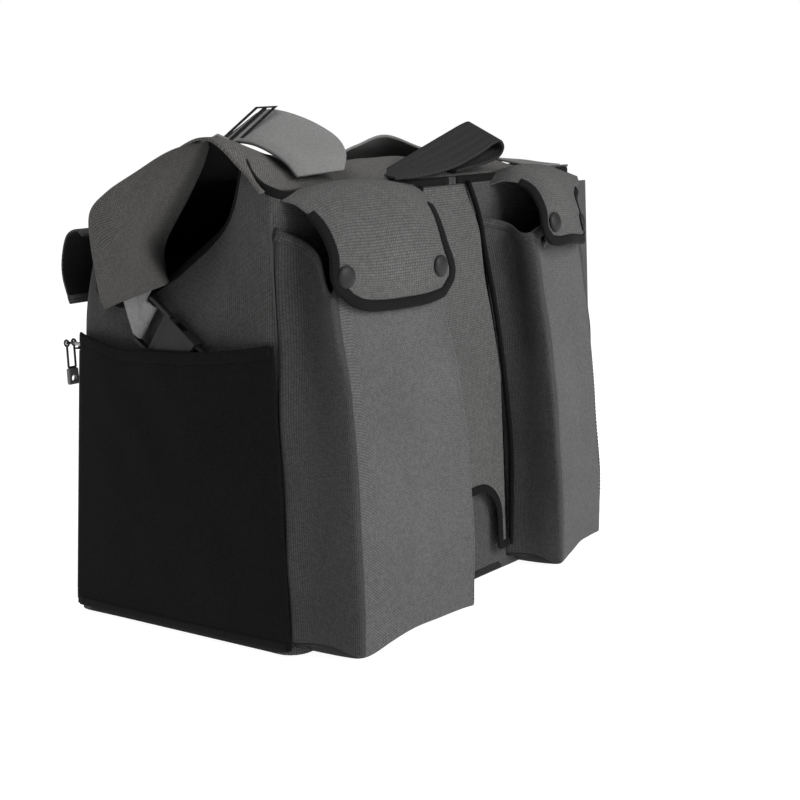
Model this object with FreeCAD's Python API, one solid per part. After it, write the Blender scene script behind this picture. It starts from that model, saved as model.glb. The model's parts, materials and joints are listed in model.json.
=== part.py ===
"""Roll-top tail bag with two bellows pockets on its back, two mesh end pockets and a front pocket.

Millimetres. X runs along the width, +Y to the outer front, +Z up, and the bag stands on z = 0.
Inside this file y = 0 is the back panel's outer face; export() moves the whole bag so that
the middle of its bounding box is over the origin. Side -1 is the left end (-X), +1 the right.
"""
import FreeCAD, Part
import math
import os

from FreeCAD import Vector

# Driving dimensions
WIDTH = 420.0              # body, end panel to end panel
BASE_DEPTH = 236.0         # body, back to front, at the base
HEM_DEPTH = 207.0          # the same at the mesh pockets' hems
HEM_Z = 224.0
FRONT_TOP = (198.0, 300.0)  # y, z of the front panel's upper edge
BACK_TOP = 326.0
FABRIC = 2.4               # foam-backed cloth of the body
THIN = 1.5                 # single cloth of pockets and flaps
BASE_CLOTH = 1.8
BOARD = 2.5                # stiffener sheets
GAP = 0.4                  # clearance between separate pieces
HINGE = (6.0, 332.0)       # y, z of the roll-top's fold line
CREST = (57.0, 356.0)      # y, z of the roll-top's crest
SHOULDER = (170.0, 318.0)  # where the roll-top turns down
ROLL_EDGE = (175.0, 250.0)  # its lower edge
WING_GAP = 2.0             # roll-top's end wings stand this far off the end panels
POCKET_IN = 60.0           # back pockets, inner side from the middle
POCKET_WIDE = 132.0
POCKET_DEEP = 48.0         # at its foot
POCKET_SLIM = 33.0         # at its upper edge
POCKET_FOOT = 2.0
POCKET_TOP = 284.0         # upper edge of a back pocket's face
FLAP_LOW = 258.0           # lower edge of its flap
FLAP_GAP = 3.5             # room for the snaps between face and flap
SNAP_Z = 273.0
SNAP_R = 7.0
SNAP_IN = 15.0             # snap centre from the pocket's side
FLAP_CORNER = 18.0
BINDING = 7.0              # width of sewn-on binding
PANEL_OFF = 7.0            # mounting sleeve's depth
ARCH_HALF = 40.0           # arched cut-out at the sleeve's foot
ARCH_TOP = 76.0
ARCH_CORNER = 28.0
SLEEVE_LOW = 22.0
MESH_OUT = 17.0            # mesh pockets stand this far off the end panels at the hem
HEM = 9.0
WEBBING = 30.0             # side-release buckle size
BUCKLE_AT = (93.0, 219.0)  # y, z of the buckle's cavity
BUCKLE_LONG = 30.0
BUCKLE_WIDE = 40.0
BUCKLE_THICK = 9.0
BUCKLE_WALL = 1.5
FRONT_POCKET = 10.0        # front pocket's depth
ZIP_Z = 212.0
ZIP_SLOT = 6.0
ZIP_HALF = 206.0
HANDLE_WIDE = 33.0
HANDLE_T = 2.6
STRAP_WIDE = 50.0
STRAP_T = 2.2
SLIDER_LONG = 24.0

SIDES = {"left": -1, "right": 1}
HALF = WIDTH / 2
parts = {}


def prism_x(points, x0, x1):
    """A (y, z) outline pushed along X."""
    wire = Part.makePolygon([Vector(x0, y, z) for y, z in points + points[:1]])
    return Part.Face(wire).extrude(Vector(x1 - x0, 0, 0))


def prism_y(points, y0, y1):
    """An (x, z) outline pushed along Y."""
    wire = Part.makePolygon([Vector(x, y0, z) for x, z in points + points[:1]])
    return Part.Face(wire).extrude(Vector(0, y1 - y0, 0))


def block(x0, x1, y0, y1, z0, z1):
    """A box between two corners given in any order."""
    low = Vector(min(x0, x1), min(y0, y1), min(z0, z1))
    return Part.makeBox(abs(x1 - x0), abs(y1 - y0), abs(z1 - z0), low)


def ribbon(path, thick):
    """The outline of a strip of even thickness that follows a path of (a, b) points."""
    normals = []
    for (a0, b0), (a1, b1) in zip(path, path[1:]):
        length = math.hypot(a1 - a0, b1 - b0)
        normals.append(((b0 - b1) / length, (a1 - a0) / length))
    upper, lower = [], []
    for i, (a, b) in enumerate(path):
        n0, n1 = normals[max(i - 1, 0)], normals[min(i, len(normals) - 1)]
        share = thick / (1 + n0[0] * n1[0] + n0[1] * n1[1])
        da, db = (n0[0] + n1[0]) * share / 2, (n0[1] + n1[1]) * share / 2
        upper.append((a + da, b + db))
        lower.append((a - da, b - db))
    return upper + lower[::-1]


def mirror_x(shape):
    return shape.mirror(Vector(0, 0, 0), Vector(1, 0, 0))


def to_side(shape, side):
    """A piece drawn at the right end, placed at the left or the right."""
    return shape if side > 0 else mirror_x(shape)


def front_y(z):
    """The front panel's outer face at height z."""
    if z < HEM_Z:
        return BASE_DEPTH + (HEM_DEPTH - BASE_DEPTH) * z / HEM_Z
    share = (z - HEM_Z) / (FRONT_TOP[1] - HEM_Z)
    return HEM_DEPTH + (FRONT_TOP[0] - HEM_DEPTH) * share


def make_body():
    """The fabric tub, open at the top, with the stiffeners that keep its shape."""
    low = BASE_CLOTH + GAP
    outline = [(0, low), (front_y(low), low), (HEM_DEPTH, HEM_Z), FRONT_TOP, (0, BACK_TOP)]
    shell = prism_x(outline, -HALF, HALF)
    top = BACK_TOP + FABRIC
    inner = [(FABRIC, low + FABRIC), (front_y(low) - FABRIC, low + FABRIC),
             (HEM_DEPTH - FABRIC, HEM_Z), (FRONT_TOP[0] - FABRIC, top), (FABRIC, top)]
    shell = shell.cut(prism_x(inner, FABRIC - HALF, HALF - FABRIC))
    ear = (CREST[0] - 5, CREST[1] - 12)
    side_low = ROLL_EDGE[1] - 4
    mouth = [(FABRIC, top), (FABRIC, BACK_TOP - 3), (ear[0], ear[1] - 4), (118, 262), (150, side_low),
             (front_y(side_low) - FABRIC, side_low), (FRONT_TOP[0] - FABRIC, top)]
    parts["body_shell"] = shell.cut(prism_x(mouth, -WIDTH, WIDTH))
    parts["base_cloth"] = block(-HALF, HALF, 0, BASE_DEPTH, 0, BASE_CLOTH)
    inside = low + FABRIC + GAP
    edge = FABRIC + 2 * GAP
    parts["base_board"] = block(edge - HALF, HALF - edge, edge + BOARD + GAP,
                                front_y(inside + BOARD) - edge, inside, inside + BOARD)
    parts["back_board"] = block(edge - HALF, HALF - edge, edge - GAP, edge - GAP + BOARD,
                                inside, BACK_TOP - 8)


def make_sleeve():
    """The back's middle panel: a sleeve open at its foot, with a bound arch and corded sides."""
    half = POCKET_IN - 8
    panel = block(-half, half, -PANEL_OFF - THIN, -PANEL_OFF, SLEEVE_LOW, BACK_TOP - 2)
    for side in SIDES.values():
        flank = block(side * half, side * (half - THIN), -PANEL_OFF, -GAP, SLEEVE_LOW, BACK_TOP - 2)
        panel = panel.fuse(flank)
    panel = panel.fuse(block(-half, half, -PANEL_OFF, -GAP, BACK_TOP - 2 - THIN, BACK_TOP - 2))
    deep = PANEL_OFF + THIN

    def arch(grow):
        """The cut-out's shape, grown by an amount all round, through the sleeve's cloth."""
        half_wide, radius = ARCH_HALF + grow, ARCH_CORNER + grow
        level = ARCH_TOP - ARCH_CORNER
        shape = block(-half_wide, half_wide, -deep - 2, GAP - PANEL_OFF, SLEEVE_LOW - 1, level)
        shape = shape.fuse(block(radius - half_wide, half_wide - radius, -deep - 2, GAP - PANEL_OFF,
                                 SLEEVE_LOW - 1, level + radius))
        for x in (radius - half_wide, half_wide - radius):
            foot = Vector(x, -deep - 2, level)
            shape = shape.fuse(Part.makeCylinder(radius, THIN + 2 + GAP, foot, Vector(0, 1, 0)))
        return shape

    parts["sleeve_panel"] = panel.cut(arch(0))
    band = arch(BINDING).cut(arch(GAP))
    clear = block(-WIDTH, WIDTH, -deep - 1, -deep - GAP / 4, SLEEVE_LOW, BACK_TOP)
    parts["arch_binding"] = band.common(clear)
    cords = []
    for side in SIDES.values():
        foot = Vector(side * (POCKET_IN - 4), -2.0, SLEEVE_LOW)
        cords.append(Part.makeCylinder(1.6, BACK_TOP - 2 - SLEEVE_LOW, foot))
    parts["back_piping"] = Part.makeCompound(cords)


def pocket_snaps():
    """Centres of one pocket's two snaps, from the middle of the bag."""
    return (POCKET_IN + SNAP_IN, POCKET_IN + POCKET_WIDE - SNAP_IN)


def pocket_face(z):
    """A back pocket's outer face at height z: it stands further out towards its foot."""
    share = (z - POCKET_FOOT) / (POCKET_TOP - POCKET_FOOT)
    return -(POCKET_DEEP + (POCKET_SLIM - POCKET_DEEP) * share)


def button(x, y0, y1, radius):
    return Part.makeCylinder(radius, abs(y1 - y0), Vector(x, min(y0, y1), SNAP_Z), Vector(0, 1, 0))


def make_back_pockets():
    """Two bellows pockets with snap flaps. Each flap turns on the seam at the back's top edge."""
    x0, x1 = POCKET_IN, POCKET_IN + POCKET_WIDE
    foot = POCKET_FOOT
    side_view = [(-GAP, foot), (pocket_face(foot), foot), (pocket_face(POCKET_TOP), POCKET_TOP),
                 (-GAP, BACK_TOP - 10)]
    hollow = [(-GAP - THIN, foot + THIN), (pocket_face(foot) + THIN, foot + THIN),
              (pocket_face(BACK_TOP) + THIN, BACK_TOP), (-GAP - THIN, BACK_TOP)]
    pocket = prism_x(side_view, x0, x1).cut(prism_x(hollow, x0 + THIN, x1 - THIN))
    off = FLAP_GAP + THIN / 2
    bend = BACK_TOP - 15
    fold = (-2.0, BACK_TOP + 5)
    skirt = [(pocket_face(bend) - off, bend), (pocket_face(FLAP_LOW) - off, FLAP_LOW)]
    over = [fold, (pocket_face(bend) * 0.7, BACK_TOP + 1)] + skirt
    flap = prism_x(ribbon(over, THIN), x0 - 2, x1 + 2)
    corner = FLAP_CORNER
    low, mid = FLAP_LOW - 1, corner * 0.3
    keep = prism_y([(x0 - 2, low + corner), (x0 - 2 + mid, low + mid), (x0 - 2 + corner, low),
                    (x1 + 2 - corner, low), (x1 + 2 - mid, low + mid), (x1 + 2, low + corner),
                    (x1 + 2, WIDTH), (x0 - 2, WIDTH)], -WIDTH, WIDTH)
    flap = flap.common(keep)
    tape = 1.2
    outward = THIN / 2 + GAP / 4 + tape / 2
    rim = prism_x(ribbon([(y - outward, z) for y, z in skirt], tape), x0 - 2, x1 + 2)
    core = block(x0 - 2 + BINDING, x1 + 2 - BINDING, -WIDTH, 0, FLAP_LOW + BINDING, WIDTH)
    rim = rim.common(keep).cut(core)
    lean = SNAP_R * (POCKET_DEEP - POCKET_SLIM) / POCKET_TOP
    studs, sockets, caps = [], [], []
    skin = pocket_face(SNAP_Z)
    middle = skin - FLAP_GAP / 2
    for x in pocket_snaps():
        studs.append(button(x, skin - lean, middle + GAP / 2, SNAP_R - 2))
        sockets.append(button(x, middle - GAP / 2, skin - FLAP_GAP + lean, SNAP_R - 1))
        caps.append(button(x, skin - off - THIN / 2 - lean, skin - off - THIN / 2 - lean - 2, SNAP_R))
    for name, side in SIDES.items():
        parts[name + "_pocket"] = to_side(pocket, side)
        parts[name + "_pocket_flap"] = to_side(flap, side)
        parts[name + "_flap_binding"] = to_side(rim, side)
        parts[name + "_snap_studs"] = to_side(Part.makeCompound(studs), side)
        parts[name + "_snap_sockets"] = to_side(Part.makeCompound(sockets), side)
        parts[name + "_snap_caps"] = to_side(Part.makeCompound(caps), side)
    print("flap fold", fold)


def make_mesh_pockets():
    """Stretch-mesh end pockets: a slanting sheet closed at its sides and foot, with an elastic hem."""
    top = HEM_Z - HEM - GAP
    foot = 3.0
    skin = 1.4

    def out_at(z):
        return HALF + 3 + (MESH_OUT - 3) * (z - foot) / (HEM_Z - foot)

    def wedge(inset, low, high):
        """The pocket's space between the end panel and its sheet."""
        near = HALF + GAP - (inset and FABRIC)
        shape = prism_y([(near, low), (out_at(low) - inset, low), (out_at(high) - inset, high),
                         (near, high)], -WIDTH, WIDTH)
        limits = [(4 + inset, low), (front_y(low) - 4 - inset, low),
                  (front_y(high) - 4 - inset, high), (4 + inset, high)]
        return shape.common(prism_x(limits, HALF - 5, WIDTH))

    mesh = wedge(0, foot, top).cut(wedge(skin, foot + skin, top + 1))
    hem = wedge(0, top + GAP, HEM_Z).cut(wedge(skin + 0.8, top - 1, HEM_Z + 1))
    for name, side in SIDES.items():
        parts[name + "_mesh_pocket"] = to_side(mesh, side)
        parts[name + "_mesh_hem"] = to_side(hem, side)


def make_roll_top():
    """The fold-over top: one sheet from the back edge over the crest, with a wing at each end."""
    reach = HALF + WING_GAP + THIN
    sheet = prism_x(ribbon([HINGE, CREST, SHOULDER, ROLL_EDGE], FABRIC), -reach, reach)
    bead = Part.makeCylinder(FABRIC / 2, 2 * reach, Vector(-reach, *HINGE), Vector(1, 0, 0))
    roll = sheet.fuse(bead)
    wing = [CREST, SHOULDER, ROLL_EDGE, (140, 256), (112, 264), (92, 300), (50, CREST[1] - 4)]
    for side in SIDES.values():
        roll = roll.fuse(prism_x(wing, side * (reach - THIN), side * reach))
    parts["roll_top"] = roll.removeSplitter()
    inset = FABRIC / 2 + GAP + BOARD / 2
    slat = [(ROLL_EDGE[0] - inset, ROLL_EDGE[1] + 4), (ROLL_EDGE[0] - inset - 1.8, ROLL_EDGE[1] + 28)]
    parts["roll_stiffener"] = prism_x(ribbon(slat, BOARD), -HALF + 12, HALF - 12)


def buckle_frame(shape, side):
    """Turns a piece drawn with its pull along +Y and its width along Z to lie on the end panel.

    The pull is square to the line from the roll-top's fold, so opening the roll draws the plug out.
    """
    down = math.degrees(math.atan2(HINGE[1] - BUCKLE_AT[1], BUCKLE_AT[0] - HINGE[0]))
    shape.rotate(Vector(0, 0, 0), Vector(1, 0, 0), 90 - down)
    shape.translate(Vector(HALF + 3.5 + BUCKLE_THICK / 2, *BUCKLE_AT))
    return to_side(shape, side)


def make_buckles():
    """Side-release buckles: socket on the end panel, plug and webbing tab on the roll-top's wing."""
    long, wide, thick, wall = BUCKLE_LONG / 2, BUCKLE_WIDE / 2, BUCKLE_THICK / 2, BUCKLE_WALL
    core = wide - 3.0
    for name, side in SIDES.items():
        socket = block(-thick, thick, -long, long, -wide, wide)
        socket = socket.cut(block(wall - thick, thick - wall, 4 - long, long + 1, -core, core))
        socket = socket.cut(block(wall - thick, thick - wall, 0, 10, -wide - 1, wide + 1))
        tail = block(-2, 2, -long - 9, -long, -wide + 2, wide - 2)
        tail = tail.cut(block(-3, 3, -long - 6, -long - 1, -WEBBING / 2 - 1, WEBBING / 2 + 1))
        parts[name + "_clip_socket"] = buckle_frame(socket.fuse(tail), side)

        inner = thick - wall - 0.8
        bar_at = long + 20
        plug = block(-inner, inner, long + 1, long + 7, -wide, wide)
        plug = plug.fuse(block(-inner, inner, 8 - long, long + 2, -4.5, 4.5))
        for edge in (-1, 1):
            plug = plug.fuse(block(-inner, inner, long + 6, bar_at + 2, edge * wide, edge * (wide - 3)))
        plug = plug.fuse(block(-1.4, 1.4, bar_at - 1, bar_at + 2, -wide, wide))
        parts[name + "_clip_plug"] = buckle_frame(plug, side)

        for label, edge in (("upper", 1), ("lower", -1)):
            arm = block(-inner + 0.3, inner - 0.3, 7 - long, long + 1 - GAP,
                        edge * (core - 2.5), edge * (core - 5.5))
            parts[name + "_clip_arm_" + label] = buckle_frame(arm, side)

        wrap = block(-2.9, 2.9, bar_at - 2.6, bar_at + 3.6, -WEBBING / 2, WEBBING / 2)
        wrap = wrap.cut(block(-1.7, 1.7, bar_at - 1.3, bar_at + 2.3, -wide, wide))
        wrap = buckle_frame(wrap, 1)
        bend = wrap.BoundBox.Center
        path = [(bend.y + 2.8, bend.z + 4.6), (136, 259), (141, 290)]
        centre = bend.x - 1.7
        tab = prism_x(ribbon(path, WEBBING), centre - 0.7, centre + 0.7)
        parts[name + "_clip_tab"] = to_side(tab.fuse(wrap), side)

        strip = block(-0.8, 0.8, -long - 34, -long - 11, -WEBBING / 2, WEBBING / 2)
        loop = block(-3.6, 3.6, -long - 11.5, -long - 6.5, -WEBBING / 2, WEBBING / 2)
        loop = loop.fuse(block(-3.6, 3.6, -long - 6.5, -long - 4.2, -WEBBING / 2, WEBBING / 2))
        loop = loop.cut(block(-2.4, 2.4, -long - 9.5, -long - 5.5, -wide, wide))
        parts[name + "_clip_anchor"] = buckle_frame(strip.fuse(loop), side)
    down = math.atan2(HINGE[1] - BUCKLE_AT[1], BUCKLE_AT[0] - HINGE[0])
    pull = (math.sin(down), math.cos(down))
    for label, edge in (("upper", 1), ("lower", -1)):
        u, v = BUCKLE_LONG / 2 + 1, edge * (core - 4)
        y = BUCKLE_AT[0] + u * pull[0] - v * pull[1]
        z = BUCKLE_AT[1] + u * pull[1] + v * pull[0]
        print("arm root", label, round(y, 2), round(z, 2))


def make_front():
    """Flat front pocket with its zip, and the storm flap that folds over it."""
    half = ZIP_HALF + 2
    low = 8.0

    def skin(offset, z0, z1):
        return [(front_y(z0) + GAP, z0), (front_y(z0) + offset, z0), (front_y(z1) + offset, z1),
                (front_y(z1) + GAP, z1)]

    pocket = prism_x(skin(FRONT_POCKET, low, ZIP_Z), -half, half)
    wall = FRONT_POCKET - THIN
    room = prism_x([(front_y(low) + GAP + 1, low + THIN), (front_y(low) + wall, low + THIN),
                    (front_y(ZIP_Z) + wall, ZIP_Z + 1), (front_y(ZIP_Z) + GAP + 1, ZIP_Z + 1)],
                   THIN - half, half - THIN)
    parts["front_pocket"] = pocket.cut(room)
    near, far = front_y(ZIP_Z) + GAP, front_y(ZIP_Z) + FRONT_POCKET
    mid = (near + far) / 2
    z0 = ZIP_Z + GAP
    slot = ZIP_SLOT / 2
    tapes = [block(-half, half, near, mid - slot, z0, z0 + 0.8),
             block(-half, half, mid + slot, far, z0, z0 + 0.8)]
    parts["zip_tapes"] = Part.makeCompound(tapes)
    rows = [block(-ZIP_HALF, ZIP_HALF, mid - slot - 1.4, mid - slot, z0 + 1, z0 + 2.2),
            block(-ZIP_HALF, ZIP_HALF, mid + slot, mid + slot + 1.4, z0 + 1, z0 + 2.2)]
    parts["zip_teeth"] = Part.makeCompound(rows)
    start = -ZIP_HALF + 1
    wide = slot + 1.4 + GAP
    car = block(start, start + 9, mid - wide, mid + wide, z0 + 2.5, z0 + 4.3)
    car = car.fuse(block(start + 2, start + 7, mid - 1.5, mid + 1.5, z0 - 1.5, z0 + 4))
    pin_y, pin_z = mid + wide + 11.0, z0 + 3.4
    car = car.fuse(block(start + 3.2, start + 5.8, mid + wide - 1, pin_y + 0.1,
                         pin_z - 0.9, pin_z + 0.9))
    car = car.fuse(Part.makeCylinder(0.9, 9, Vector(start, pin_y, pin_z), Vector(1, 0, 0)))
    parts["zip_slider"] = car
    # the pull: a cord loop over the slider's pin and a moulded ring end, hanging straight down
    cords = []
    for x in (start + 0.9, start + 8.1):
        cords.append(Part.makeTorus(2.3, 0.9, Vector(x, pin_y, pin_z), Vector(1, 0, 0)))
        cords.append(Part.makeCylinder(0.9, 17, Vector(x, pin_y, pin_z - 19.3)))
    cord = cords[0].fuse(cords[1]).fuse(cords[2].fuse(cords[3]))
    parts["pull_cord"] = cord.fuse(block(start + 0.9, start + 8.1, pin_y - 0.8, pin_y + 0.8,
                                         pin_z - 20, pin_z - 18.6))
    grip = block(start - 0.5, start + 9.5, pin_y - 1.9, pin_y + 1.9, pin_z - 33, pin_z - 20 - GAP / 4)
    hole = Part.makeCylinder(2.6, 8, Vector(start + 4.5, pin_y - 4, pin_z - 28), Vector(0, 1, 0))
    parts["pull_end"] = grip.makeFillet(1.2, grip.Edges).cut(hole)
    print("zip pin", round(start, 2), round(pin_y, 2), round(pin_z, 2))

    crown = (FRONT_TOP[0] + 4.0, FRONT_TOP[1] + 3)
    over = [crown, (crown[0] + 14, crown[1] - 8), (crown[0] + 19, crown[1] - 26),
            (crown[0] + 10, crown[1] - 56)]
    parts["front_flap"] = prism_x(ribbon(over, THIN), -half, half)
    tip = over[-1]
    hem = [(tip[0] - 0.3, tip[1] - 1.2), (tip[0] - 2, tip[1] - 6)]
    parts["front_flap_hem"] = prism_x(ribbon(hem, 2.4), -half, half)
    print("front crown", crown)


def make_handle():
    """The grab handle: webbing that rises from one foot, turns over and comes back to the other."""
    y0 = -8.0
    loop = [(-53, 347), (-24, 356), (38, 373), (50, 371), (52, 365), (44, 359), (8, 347)]
    handle = prism_y(ribbon(loop, HANDLE_T), y0, y0 + HANDLE_WIDE)
    rise = (CREST[1] - HINGE[1]) / (CREST[0] - HINGE[0])
    sewn = [HINGE[0] + 2, HINGE[0] + 16]
    seat = [(y, HINGE[1] + (y - HINGE[0]) * rise + FABRIC / 2 + GAP) for y in sewn]
    for x in (loop[0][0], loop[-1][0]):
        handle = handle.fuse(prism_x(seat + [(sewn[1], loop[0][1]), (sewn[0], loop[0][1])], x, x + 10))
    parts["carry_handle"] = handle


def make_strap():
    """The wide shoulder strap, laid over the roll-top, with its tri-glide."""
    x0 = -175.0
    rise = [(13, 345), (20, 362), (38, 381), (52, 383), (98, 375), (112, 355)]
    near = prism_x(ribbon(rise, STRAP_T), x0, x0 + STRAP_WIDE)
    lean = math.degrees(math.atan2(CREST[1] - SHOULDER[1], SHOULDER[0] - CREST[0]))
    across = [(x0, 3.4), (-60, 3.4), (-10, 16), (60, 8), (175, 3.4)]
    cross = prism_y(ribbon(across, STRAP_T), 0, STRAP_WIDE)
    cross.rotate(Vector(0, 0, 0), Vector(1, 0, 0), -lean)
    cross.translate(Vector(0, CREST[0] + 20, CREST[1] - 20 * math.tan(math.radians(lean))))
    back = [(13, 345), (30, 357), (60, 367), (84, 359)]
    far = prism_x(ribbon(back, STRAP_T), x0 + 300, x0 + 300 + STRAP_WIDE)
    parts["shoulder_strap"] = near.fuse(far)
    parts["strap_crossing"] = cross
    turn = math.degrees(math.atan2(8, 46))
    ring = block(x0 - 4, x0 + STRAP_WIDE + 4, 0, SLIDER_LONG, -3.2, 5.2)
    ring = ring.cut(block(x0 - 1, x0 + STRAP_WIDE + 1, -1, SLIDER_LONG + 1, -1.6, 3.6))
    ring = ring.fuse(block(x0 - 2, x0 + STRAP_WIDE + 2, 9, 15, 1.6, 3.8))
    ring.rotate(Vector(0, 0, 0), Vector(1, 0, 0), -turn)
    ring.translate(Vector(0, 55, 382.3))
    parts["strap_slider"] = ring


def export():
    """Stands the bag over the origin and writes one file per piece."""
    whole = Part.makeCompound(list(parts.values())).BoundBox
    shift = -(whole.YMin + whole.YMax) / 2
    os.makedirs("parts", exist_ok=True)
    for name, shape in parts.items():
        shape.translate(Vector(0, shift, 0))
        shape.exportStep("parts/" + name + ".step")
    size = [round(v, 1) for v in (whole.XLength, whole.YLength, whole.ZMax)]
    print("y shift", round(shift, 3), "size", size)


make_body()
make_sleeve()
make_back_pockets()
make_mesh_pockets()
make_roll_top()
make_buckles()
make_front()
make_handle()
make_strap()
export()
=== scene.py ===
# %% [markdown]
# # A roll-top tail bag
# This lesson builds the looks of a soft bag around a fixed model of its hard sizes. The fixed model
# says where each piece goes and what moves with what. Here every cloth piece, strap and buckle gets
# its real shape and finish. The first cell loads the fixed model and keeps its outside box.

# %% Load the fixed model
import json
import math
import bmesh
import bpy
from mathutils import Matrix, Vector, noise

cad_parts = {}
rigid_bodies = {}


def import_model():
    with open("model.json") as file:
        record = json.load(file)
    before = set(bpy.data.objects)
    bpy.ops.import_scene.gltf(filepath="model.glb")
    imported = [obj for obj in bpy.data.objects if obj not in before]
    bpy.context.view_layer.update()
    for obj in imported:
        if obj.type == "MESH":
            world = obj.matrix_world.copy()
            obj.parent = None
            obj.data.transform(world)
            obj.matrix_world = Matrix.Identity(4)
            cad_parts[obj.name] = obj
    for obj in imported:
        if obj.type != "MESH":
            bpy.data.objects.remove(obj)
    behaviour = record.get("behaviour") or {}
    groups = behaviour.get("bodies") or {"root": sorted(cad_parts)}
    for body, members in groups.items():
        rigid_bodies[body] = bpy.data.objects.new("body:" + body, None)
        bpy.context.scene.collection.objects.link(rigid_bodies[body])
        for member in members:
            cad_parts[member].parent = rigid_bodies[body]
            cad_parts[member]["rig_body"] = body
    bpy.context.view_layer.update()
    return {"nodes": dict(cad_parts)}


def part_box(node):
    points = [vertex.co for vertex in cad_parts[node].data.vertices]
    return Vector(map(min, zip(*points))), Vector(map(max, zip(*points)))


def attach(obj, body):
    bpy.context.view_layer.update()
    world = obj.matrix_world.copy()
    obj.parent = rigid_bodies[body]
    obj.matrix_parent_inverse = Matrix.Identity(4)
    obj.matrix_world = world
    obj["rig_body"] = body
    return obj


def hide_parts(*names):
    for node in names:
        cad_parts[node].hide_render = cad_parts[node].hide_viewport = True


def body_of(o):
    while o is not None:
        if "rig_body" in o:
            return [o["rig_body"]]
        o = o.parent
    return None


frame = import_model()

# %% [markdown]
# A bag maker measures from the back panel, so the lesson does too: x runs along the bag from its
# middle, y forwards from the back panel's outer face, z up from the ground, all in millimetres.
# One small function turns such a place into Blender's metres, so that each piece can be written
# with the numbers that a pattern would have.

# %% Places and smooth lines
MM = 0.001
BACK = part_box("body_shell")[0].y


def at(place):
    """A place in pattern millimetres, as metres in the scene."""
    return Vector((place[0] * MM, BACK + place[1] * MM, place[2] * MM))


def smooth(t):
    """0 to 1 with a soft start and end."""
    t = min(max(t, 0.0), 1.0)
    return t * t * (3 - 2 * t)


def along(points, t):
    """A smooth line through the points, at t from 0 to 1."""
    place = min(max(t, 0.0), 1.0) * (len(points) - 1)
    i = min(int(place), len(points) - 2)
    f = place - i
    p1, p2 = Vector(points[i]), Vector(points[i + 1])
    p0 = Vector(points[i - 1]) if i else p1 * 2 - p2
    p3 = Vector(points[i + 2]) if i + 2 < len(points) else p2 * 2 - p1
    return (2 * p1 + (p2 - p0) * f + (2 * p0 - 5 * p1 + 4 * p2 - p3) * f * f
            + (3 * p1 - p0 - 3 * p2 + p3) * f * f * f) / 2


def straight(points, t):
    """The polyline through the points, at t from 0 to 1 of its length."""
    points = [Vector(p) for p in points]
    runs = [(b - a).length for a, b in zip(points, points[1:])]
    left = min(max(t, 0.0), 1.0) * sum(runs)
    for a, b, run in zip(points, points[1:], runs):
        if left <= run:
            return a.lerp(b, left / run if run else 0)
        left -= run
    return points[-1]


def net(rows):
    """A smooth sheet through rows of points: u runs along a row and v from the first row on."""
    return lambda u, v: along([along(row, u) for row in rows], v)


def mirrored(shape):
    """The same sheet at the bag's other end. u is turned round so that its outside stays outside."""
    def other(u, v):
        place = shape(1 - u, v)
        return Vector((-place[0], place[1], place[2]))
    return other


def turned(shape):
    """The same sheet with u run the other way, so that its outside faces the other way."""
    return lambda u, v: shape(1 - u, v)


def ripple(x, y, seed):
    """A soft uneven wave from -1 to 1 that is the same on every run."""
    return noise.noise(Vector((x, y, seed)))


print("back panel at y =", round(BACK, 4))

# %% [markdown]
# The camera comes before any cloth, because every later choice is judged through it. It stands low
# behind the bag's left corner and looks a little down. A long lens keeps the far end nearly as large
# as the near one.

# %% Camera
CAMERA_AT = Vector((-0.9895, BACK - 0.7199, 0.3744))
YAW, PITCH, ROLL = math.radians(38.25), math.radians(-10.13), math.radians(-2.48)
ahead = Vector((math.cos(PITCH) * math.cos(YAW), math.cos(PITCH) * math.sin(YAW), math.sin(PITCH)))
right = Vector((math.sin(YAW), -math.cos(YAW), 0))
above = right.cross(ahead)
right, above = (right * math.cos(ROLL) + above * math.sin(ROLL),
                above * math.cos(ROLL) - right * math.sin(ROLL))
lens = bpy.data.cameras.new("camera")
lens.lens, lens.sensor_width, lens.dof.use_dof = 69.59, 36.0, False
lens.clip_start, lens.clip_end = 0.05, 50
camera = bpy.data.objects.new("camera", lens)
bpy.context.scene.collection.objects.link(camera)
camera.matrix_world = Matrix.Translation(CAMERA_AT) @ Matrix((right, above, -ahead)).transposed().to_4x4()
bpy.context.scene.camera = camera
print("camera at", [round(v, 3) for v in CAMERA_AT])

# %% [markdown]
# A catalogue picture of dark goods is lit by large soft lamps on a white sweep: broad light from the
# camera's side for the back panel, less on the end, and white all round. Area lamps are the nearest
# thing to a studio's soft boxes. The world gives the even white fill.

# %% Floor, lamps and fill
WHITE = (1.0, 1.0, 1.0, 1.0)


def lamp(name, place, target, size, power):
    """A square soft box at a place, turned to a target, both in metres."""
    light = bpy.data.lights.new(name, "AREA")
    light.size, light.energy = size, power
    holder = bpy.data.objects.new(name, light)
    bpy.context.scene.collection.objects.link(holder)
    holder.location = place
    holder.rotation_euler = (Vector(target) - Vector(place)).to_track_quat("-Z", "Y").to_euler()


lamp("back_box", (0.32, -1.92, 1.1), (0, 0, 0.18), 1.3, 44)
lamp("top_box", (-0.55, 0.3, 1.9), (0, 0, 0.3), 0.9, 15)
lamp("end_box", (-1.9, 0.9, 0.9), (-0.1, 0.05, 0.25), 1.0, 2.5)
world = bpy.data.worlds.new("studio")
bpy.context.scene.world = world
bpy.context.scene.view_settings.view_transform = "Standard"
world.use_nodes = True
sky = world.node_tree.nodes["Background"]
sky.inputs["Color"].default_value = WHITE
seen = world.node_tree.nodes.new("ShaderNodeLightPath")
strength = world.node_tree.nodes.new("ShaderNodeMapRange")
strength.inputs["To Min"].default_value = 0.2
world.node_tree.links.new(seen.outputs["Is Camera Ray"], strength.inputs["Value"])
world.node_tree.links.new(strength.outputs[0], sky.inputs["Strength"])
print("three lamps and a white world")

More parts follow.
